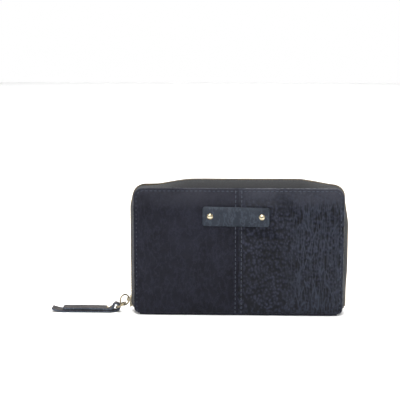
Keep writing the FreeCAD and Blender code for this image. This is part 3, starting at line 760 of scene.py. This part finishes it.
def perimeter(side, has_seam):
    """The line of stitches round a cover, a little under the leather's surface."""
    points = []
    flat, radius = cover_half - corner_top, corner_top - stitch_inset
    high, edge = cover_top - corner_top, cover_half - stitch_inset
    line = [(-edge, stitch_low + (high - stitch_low) * number / 40) for number in range(41)]
    for centre, start in ((-flat, 180), (flat, 90)):
        for number in range(13):
            angle = math.radians(start - 90 * number / 12)
            line.append((centre + radius * math.cos(angle), high + radius * math.sin(angle)))
        if centre < 0:
            top = cover_top - stitch_inset
            line += [(-flat + 2 * flat * number / 80, top) for number in range(1, 80)]
    line += [(edge, high - (high - stitch_low) * number / 40) for number in range(41)]
    for x, z in line:
        points.append((x, side * (cover_height(x, z, has_seam) - 0.05), z))
    return points


def seam_line(x):
    """One row of stitches beside the front's middle seam."""
    heights = [3.0 + (cover_top - 6.2) * number / 60 for number in range(61)]
    return [(x, -(cover_height(x, z, True) + 0.02), z) for z in heights]


stitching = (stitch_pitch, stitch_sizes, stitch_shape, navy_thread)
front_stitch = repeat("front_edge_stitches", perimeter(-1, True), *stitching)
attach(front_stitch, "front_cover")
back_stitch = repeat("back_edge_stitches", perimeter(1, False), *stitching)
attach(back_stitch, "root")
for row_name, row_x in (("left", -seam_rows), ("right", seam_rows)):
    seam_stitch = repeat(f"seam_stitches_{row_name}", seam_line(row_x), *stitching)
    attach(seam_stitch, "front_cover")


# ---- Label -------------------------------------------------------------------------------------
# A bare slate blue leather patch with rounded edges, held by a domed rivet at each end that
# presses it down, and tilted by one degree.

label_tilt = math.radians(1.0)
label_front = cover_face + 2.3
label_back = cover_face + 0.1
label_corner = 2.2
label_outline = (label_half_width, -label_half_height, label_half_height, label_corner, label_corner)
rivet_half_spacing = 20.2


def label_place(x, z):
    """A point of the label's own rectangle, rounded at its corners and put on the cover."""
    x, z = round_corner(x, z, *label_outline)
    turned_x = x * math.cos(label_tilt) + z * math.sin(label_tilt)
    turned_z = z * math.cos(label_tilt) - x * math.sin(label_tilt)
    return label_middle[0] + turned_x, label_middle[2] + turned_z


def label_height(x, z):
    """The label's face: rounded edges, and a dip round each rivet."""
    u, v = x - label_middle[0], z - label_middle[2]
    edge = inset(u, v, *label_outline)
    drop = 0.75 * (1 - min(max(edge, 0.0) / 0.9, 1.0)) ** 2
    dip = 0.0
    for centre in (-rivet_half_spacing, rivet_half_spacing):
        dip += 0.34 * math.exp(-((math.hypot(u - centre, v) / 3.6) ** 2))
    sag = 0.1 * noise.noise(Vector((x * 0.12, z * 0.2, 1.3)))
    return label_front - drop - dip + sag


slate_leather = leather(
    "slate label leather", (0.013, 0.0165, 0.0235), (0.028, 0.034, 0.045), 1900.0, 0.3, 0.3, (0.42, 0.6)
)
label_columns = steps(-label_half_width, label_half_width, 0.25, 1.0, 4.0)
label_rows = steps(-label_half_height, label_half_height, 0.25, 0.8, 3.0)
label_surface = (label_columns, label_rows, label_place, label_height, label_back)
label_patch = slab("label_patch_leather", *label_surface, -1, [slate_leather])
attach(label_patch, "front_cover")
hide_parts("label_patch")


# ---- Rivets ------------------------------------------------------------------------------------
# Pale polished brass domes, each standing on a thin dark collar, which is painted shadow round the dome's
# rim.

pale_brass = metal(
    "pale rivet brass", (0.3, 0.25, 0.16), (0.66, 0.59, 0.42), (0.14, 0.32), 500.0, coat=0.2
)
# The collar's dark brass is painted shadow: it stands where the dome's rim shades the label.
shadow_collar_brass = metal("painted shadow collar brass", (0.04, 0.034, 0.026), (0.13, 0.11, 0.08), (0.35, 0.6), 500.0)


def turned(name, profile, centre, axis, material, around=48):
    """A solid of revolution from a profile of radius and height, in millimetres."""
    shape = bmesh.new()
    rings = []
    turn = Vector((0, 0, 1)).rotation_difference(Vector(axis)).to_matrix()
    for radius, height in profile:
        ring = []
        for number in range(around if radius > 1e-6 else 1):
            angle = 2 * math.pi * number / around
            spot = turn @ Vector((radius * math.cos(angle), radius * math.sin(angle), height))
            ring.append(shape.verts.new((spot + Vector(centre)) * MM))
        rings.append(ring)
    for one, two in zip(rings, rings[1:]):
        for number in range(around):
            after = (number + 1) % around
            corners = [one[number % len(one)], one[after % len(one)]]
            corners += [two[after % len(two)], two[number % len(two)]]
            shape.faces.new(list(dict.fromkeys(corners)))
    return new_solid(name, shape, [material])


def dome(radius, height, foot):
    """The profile of a shallow dome that rolls under at its rim, down to foot."""
    count = 10
    ball = (radius * radius + height * height) / (2 * height)
    points = [(0.0, height)]
    for number in range(1, count + 1):
        across = radius * number / count
        points.append((across, math.sqrt(ball * ball - across * across) - ball + height))
    return points + [(radius - 0.15, -0.25), (radius - 0.5, foot), (0.0, foot)]


rivet_y = -cover_face - 2.05
for name, sign in (("left", -1), ("right", 1)):
    rivet_x = label_middle[0] + sign * rivet_half_spacing * math.cos(label_tilt)
    rivet_z = label_middle[2] - sign * rivet_half_spacing * math.sin(label_tilt)
    rivet_at = (rivet_x, rivet_y, rivet_z)
    head = turned(f"label_rivet_{name}", dome(2.45, 1.35, -1.2), rivet_at, (0, -1, 0), pale_brass)
    # A dark ring round the dome, standing in for its shadow on the label.
    shadow_collar_profile = [(0.0, 0.12), (2.3, 0.12), (2.75, 0.02), (2.95, -0.3), (2.8, -0.8), (0.0, -0.8)]
    shadow_collar = turned(f"label_rivet_shadow_collar_{name}", shadow_collar_profile, rivet_at, (0, -1, 0), shadow_collar_brass)
    for piece in (head, shadow_collar):
        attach(piece, "front_cover")
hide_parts("label_rivets")


# ---- Slider and rings --------------------------------------------------------------------------
# The zip's slider, parked at the bottom of the left edge, with two rings of antique brass wire
# that join its bail to the strap.

pull_brass = metal(
    "antique pull brass", (0.1, 0.08, 0.045), (0.36, 0.3, 0.19), (0.22, 0.42), 380.0, coat=0.15
)
slider_brass = metal(
    "antique slider brass", (0.1, 0.085, 0.055), (0.34, 0.3, 0.21), (0.2, 0.4), 380.0, coat=0.1
)


def paint(material, *names):
    """Gives CAD nodes a finish."""
    for name in names:
        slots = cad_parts[name].data.materials
        slots.clear()
        slots.append(material)


paint(slider_brass, "slider", "coin_slider", "coin_pull")


def wire_ring(name, like, material, wire=0.7):
    """A smooth wire ring in the place of a CAD ring, found from its vertices."""
    spots = [Vector(vertex.co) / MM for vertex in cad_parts[like].data.vertices]
    centre = sum(spots, Vector()) / len(spots)
    far = max(spots, key=lambda spot: (spot - centre).length)
    one = (far - centre).normalized()
    best = max(spots, key=lambda spot: (spot - centre).cross(one).length)
    axis = one.cross(best - centre).normalized()
    radius = (far - centre).length - wire
    profile = []
    for number in range(15):
        angle = 2 * math.pi * number / 14
        profile.append((radius + wire * math.cos(angle), wire * math.sin(angle)))
    made = turned(name, profile, centre, axis, material, around=72)
    shape = bmesh.new()
    shape.from_mesh(made.data)
    bmesh.ops.remove_doubles(shape, verts=shape.verts, dist=1e-6)
    bmesh.ops.recalc_face_normals(shape, faces=shape.faces)
    shape.to_mesh(made.data)
    shape.free()
    return made


for ring_name in ("pull_ring", "link_ring"):
    ring = wire_ring(f"{ring_name}_wire", ring_name, pull_brass)
    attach(ring, ring_name)
    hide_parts(ring_name)


# ---- Strap -------------------------------------------------------------------------------------
# One strip of dark leather with slate edges, folded round the second ring. Its loop narrows to a
# neck, a rivet holds the two layers, and the lower tail is the longer one, with a curled tip.

strap_low, strap_high = (Vector(corner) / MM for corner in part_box("strap"))
rivet_low, rivet_high = (Vector(corner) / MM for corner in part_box("strap_rivet"))
strap_thick = 1.9
strap_upper_length = 46.0
strap_neck = 2.35
strap_y = (strap_low.y + strap_high.y) / 2
strap_half = (strap_high.y - strap_low.y) / 2
strap_rivet_x = (rivet_low.x + rivet_high.x) / 2
loop_end = strap_high.x
loop_height = strap_high.z + 0.2
upper_end = loop_end - strap_upper_length
lower_end = strap_low.x


def strap_centre():
    """The strip's middle line in X and Z, from the lower tail round the loop to the upper tail."""
    half = strap_thick / 2
    radius = (loop_height - strap_thick) / 2
    hub = loop_end - half - radius
    second = strap_thick + half
    points = [(lower_end, half + 2.2), (lower_end + 3.0, half + 1.1), (lower_end + 7.0, half + 0.15)]
    points += [(lower_end + 13.0, half), ((lower_end + hub) / 2, half)]
    points += [(strap_rivet_x, half), (hub - 3.0, half)]
    for angle in (-90, -50, -10, 30, 65, 95):
        turn = math.radians(angle)
        points.append((hub + radius * math.cos(turn), half + radius + radius * math.sin(turn)))
    points += [(hub - 0.62 * radius, half + 1.45 * radius), (strap_rivet_x + 3.4, second + 0.75)]
    points += [(strap_rivet_x, second + 0.05), (strap_rivet_x - 6.0, second + 0.3)]
    points += [((strap_rivet_x + upper_end) / 2, second + 0.5), (upper_end + 5, second + 0.35)]
    points.append((upper_end, second + 0.55))
    return points


def eased(points, parts=6):
    """A smooth line through points."""
    line = []
    for number in range(len(points) - 1):
        around = [points[min(max(number + shift, 0), len(points) - 1)] for shift in (-1, 0, 1, 2)]
        a, b, c, d = (Vector(point) for point in around)
        for step in range(parts):
            t = step / parts
            curve = (2 * a - 5 * b + 4 * c - d) * t**2 + (3 * b - a - 3 * c + d) * t**3
            line.append(0.5 * (2 * b + (c - a) * t + curve))
    line.append(Vector(points[-1]))
    return line


def strap_width(x, share):
    """Half the strip's width: full on the tails, a neck at the loop, rounded at the tips."""
    neck = smooth(strap_rivet_x + 1.5, strap_rivet_x + 6.5, x)
    half = strap_half * (1 - neck) + strap_neck * neck
    end = lower_end if share < 0.5 else upper_end
    tip = min(max((x - end) / 1.6, 0.0), 1.0)
    return half * (0.72 + 0.28 * math.sqrt(1 - (1 - tip) ** 2))


def strap_mesh(name, materials):
    """The folded strip, with the first material on its faces and the second on its edges."""
    line = eased(strap_centre())
    ways = [-1.0, -0.97, -0.88, -0.6, -0.3, 0.0, 0.3, 0.6, 0.88, 0.97, 1.0]
    shape = bmesh.new()
    rings = []
    for number, spot in enumerate(line):
        before, after = line[max(number - 1, 0)], line[min(number + 1, len(line) - 1)]
        run = (after - before).normalized()
        out = Vector((run.y, -run.x))
        half = strap_width(spot.x, number / len(line))
        outer, inner = [], []
        for way in ways:
            rounding = max(1 - max(abs(way) - 0.8, 0.0) ** 2 / 0.045, 0.06)
            edge = strap_thick / 2 * math.sqrt(rounding)
            for skin, sign in ((outer, 1), (inner, -1)):
                x, z = spot.x + sign * out.x * edge, spot.y + sign * out.y * edge
                skin.append(shape.verts.new((x * MM, (strap_y + way * half) * MM, z * MM)))
        rings.append(outer + inner[::-1])
    around, last = len(rings[0]), len(ways)
    for index, face in bridged(shape, rings):
        at_edge = index in (0, last - 2, last - 1, last, around - 2, around - 1)
        face.material_index = 1 if at_edge else 0
    for ring in (rings[0][::-1], rings[-1]):
        shape.faces.new(ring).material_index = 1
    return new_solid(name, shape, materials)


strap_grain = leather(
    "strap grain leather", (0.018, 0.016, 0.017), (0.046, 0.04, 0.039), 1500.0, 0.35, 0.4, (0.4, 0.6)
)
strap_edge = leather(
    "strap edge leather", (0.024, 0.03, 0.042), (0.06, 0.071, 0.092), 1500.0, 0.3, 0.3, (0.4, 0.62)
)
strap = strap_mesh("strap_leather_strip", [strap_grain, strap_edge])
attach(strap, "strap")
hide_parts("strap")
strap_rivet_at = (strap_rivet_x, strap_y, 2 * strap_thick + 0.12)
strap_rivet = turned("strap_rivet_head", dome(2.2, 1.2, -2.6), strap_rivet_at, (0, 0, 1), pale_brass)
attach(strap_rivet, "strap")
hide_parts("strap_rivet")


# ---- Inside ------------------------------------------------------------------------------------
# Lined covers with stepped card slots, a leather coin pocket with its own small zip, and a folded
# cloth gusset at each side.

slot_leather = leather("card slot leather", (0.022, 0.027, 0.04), (0.04, 0.05, 0.072), 1700.0, 0.3, 0.3)
lining_cloth, lining_tree, lining_shader, lining_place = blank("lining cloth", 0.8, 0.2, sheen=0.35)
warp = textured(lining_tree, "ShaderNodeTexWave", lining_place, "Fac", Scale=900.0, bands_direction="X")
weft = textured(lining_tree, "ShaderNodeTexWave", lining_place, "Fac", Scale=900.0, bands_direction="Z")
woven = mixed(lining_tree, 0.5, warp, weft)
lining_tone = ramp(lining_tree, woven, [(0.2, (0.03, 0.033, 0.045)), (0.8, (0.075, 0.082, 0.105))])
lining_tree.links.new(lining_tone, lining_shader.inputs["Base Color"])
bumped(lining_tree, lining_shader, [(woven, 0.5, 0.12)])

for cover_name in ("front", "back"):
    paint(lining_cloth, f"{cover_name}_lining", f"{cover_name}_foam", f"{cover_name}_board")
    paint(slot_leather, *[f"{cover_name}_card_panel_{number}" for number in range(1, 5)])
paint(lining_cloth, "spine_lining", "coin_base", "coin_side_left", "coin_side_right")
paint(slot_leather, "coin_front_wall", "coin_back_wall")
paint(tooth_metal, "coin_teeth")
coin_weave = leather(
    "coin tape weave", (0.03, 0.03, 0.03), (0.06, 0.06, 0.056), 2600.0, 0.5, 0.1, (0.8, 0.9)
)
paint(coin_weave, "coin_tape_front", "coin_tape_back")

card_stitch_pitch = 2.6
card_sizes = {"Half width": 0.22, "Half height": 0.2, "Half length": 0.9}
card_stitching = (card_stitch_pitch, card_sizes, stitch_shape, navy_thread)
for cover_name, body_name, side in (("front", "front_cover", -1), ("back", "root", 1)):
    for number in range(1, 5):
        low, high = (Vector(corner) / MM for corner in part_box(f"{cover_name}_card_panel_{number}"))
        face_y = high.y if side < 0 else low.y
        ends = (low.x + 3.0, high.x - 3.0)
        edge = [(ends[0] + (ends[1] - ends[0]) * part / 20, face_y, high.z - 1.6) for part in range(21)]
        sewn = repeat(f"{cover_name}_slot_stitches_{number}", edge, *card_stitching)
        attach(sewn, body_name)
for wall_name, face_side in (("coin_front_wall", 0), ("coin_back_wall", 1)):
    low, high = (Vector(corner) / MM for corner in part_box(wall_name))
    face_y = high.y if face_side else low.y
    edge = [(low.x + 4 + (high.x - low.x - 8) * part / 20, face_y, high.z - 2.2) for part in range(21)]
    sewn = repeat(f"{wall_name}_stitches", edge, *card_stitching)
    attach(sewn, "divider")


def gusset(name, side, material):
    """A cloth gusset with two soft folds, closed round its thickness, between the covers."""
    box_low, box_high = (Vector(corner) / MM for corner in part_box(f"gusset_{name}"))
    outer = max(abs(box_low.x), abs(box_high.x))
    depth, deep, thick = box_high.y, 2.3, 0.35
    section = []
    for number in range(49):
        share = number / 48
        y = -depth + 2 * depth * share
        section.append((outer - deep * (0.5 - 0.5 * math.cos(4 * math.pi * share)), y))
    shape = bmesh.new()
    rings = []
    for number in range(23):
        z = box_low.z + (box_high.z - box_low.z) * number / 22
        ring = [shape.verts.new((side * x * MM, y * MM, z * MM)) for x, y in section]
        ring += [shape.verts.new((side * (x - thick) * MM, y * MM, z * MM)) for x, y in section[::-1]]
        rings.append(ring)
    bridged(shape, rings)
    for ring in (rings[0], rings[-1]):
        for index in range(len(section) - 1):
            shape.faces.new([ring[index], ring[index + 1], ring[-index - 2], ring[-index - 1]])
    return new_solid(f"gusset_{name}_cloth", shape, [material])


for gusset_name, side in (("left", -1), ("right", 1)):
    cloth = gusset(gusset_name, side, lining_cloth)
    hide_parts(f"gusset_{gusset_name}")
    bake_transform(cloth)


# ---- Table, light and camera -------------------------------------------------------------------
# A plain white table, seen a little from above and from the right. Four lights over it keep it
# white all round. The background is white to the camera and dim to everything else.

table_reach = 3
floor_shape = bmesh.new()
for across, deep in ((-1, -1), (1, -1), (1, 1), (-1, 1)):
    floor_shape.verts.new((across * table_reach, deep * table_reach, 0.0))
floor_shape.faces.new(floor_shape.verts)
floor_data = bpy.data.meshes.new("table_top")
floor_shape.to_mesh(floor_data)
floor_shape.free()
white_table, _, table_shader, _ = blank("white table", 0.9, 0.1)
table_shader.inputs["Base Color"].default_value = (0.93, 0.93, 0.93, 1)
table = new_object("table_top", floor_data, [white_table])

world = bpy.data.worlds.new("studio")
bpy.context.scene.world = world
world.use_nodes = True
sky = world.node_tree.nodes["Background"]
sky.inputs["Color"].default_value = (1.0, 1.0, 1.0, 1)
seen = node(world.node_tree, "ShaderNodeLightPath")
sky_strength = node(world.node_tree, "ShaderNodeMapRange")
sky_strength.inputs["To Min"].default_value, sky_strength.inputs["To Max"].default_value = 0.15, 1.0
world.node_tree.links.new(seen.outputs["Is Camera Ray"], sky_strength.inputs["Value"])
world.node_tree.links.new(sky_strength.outputs["Result"], sky.inputs["Strength"])


def soft_light(name, place, aim, width, power):
    """A square soft light at a place, turned to aim."""
    data = bpy.data.lights.new(name, "AREA")
    data.size, data.energy = width, power
    made = bpy.data.objects.new(name, data)
    bpy.context.collection.objects.link(made)
    made.location = place
    made.rotation_euler = (Vector(aim) - Vector(place)).to_track_quat("-Z", "Y").to_euler()


soft_light("top light", (-0.1, -0.28, 1.1), (0, 0, 0.05), 0.6, 10.0)
soft_light("key light", (-0.3, -0.8, 1.0), (0, 0, 0.09), 0.35, 3.5)
soft_light("back light", (0.0, 1.3, 1.5), (0, 1.3, 0.0), 2.4, 80.0)
soft_light("left light", (-0.9, -0.7, 0.6), (0, 0, 0.05), 0.5, 1.2)
for name, x, y in (("front", 0, -2.6), ("left", -2.6, 0), ("right", 2.6, 0)):
    soft_light(f"{name} floor light", (x, y, 1.6), (x, y, 0.0), 2.0, 42.0)
soft_light("right light", (0.9, -0.6, 0.5), (0, 0, 0.05), 0.5, 1.2)

camera_data = bpy.data.cameras.new("camera")
camera_data.lens, camera_data.sensor_width = 100.0, 36.0
camera = bpy.data.objects.new("camera", camera_data)
bpy.context.collection.objects.link(camera)
camera_azimuth, camera_elevation, camera_distance = 1.8, 9.5, 0.865
camera_target = Vector((-0.0301, -0.0125, 0.0926))
azimuth, elevation = math.radians(camera_azimuth), math.radians(camera_elevation)
level = math.cos(elevation)
away = Vector((math.sin(azimuth) * level, -math.cos(azimuth) * level, math.sin(elevation)))
camera.location = camera_target + away * camera_distance
camera.rotation_euler = (-away).to_track_quat("-Z", "Y").to_euler()
bpy.context.scene.camera = camera
bpy.context.scene.view_settings.view_transform = "Standard"
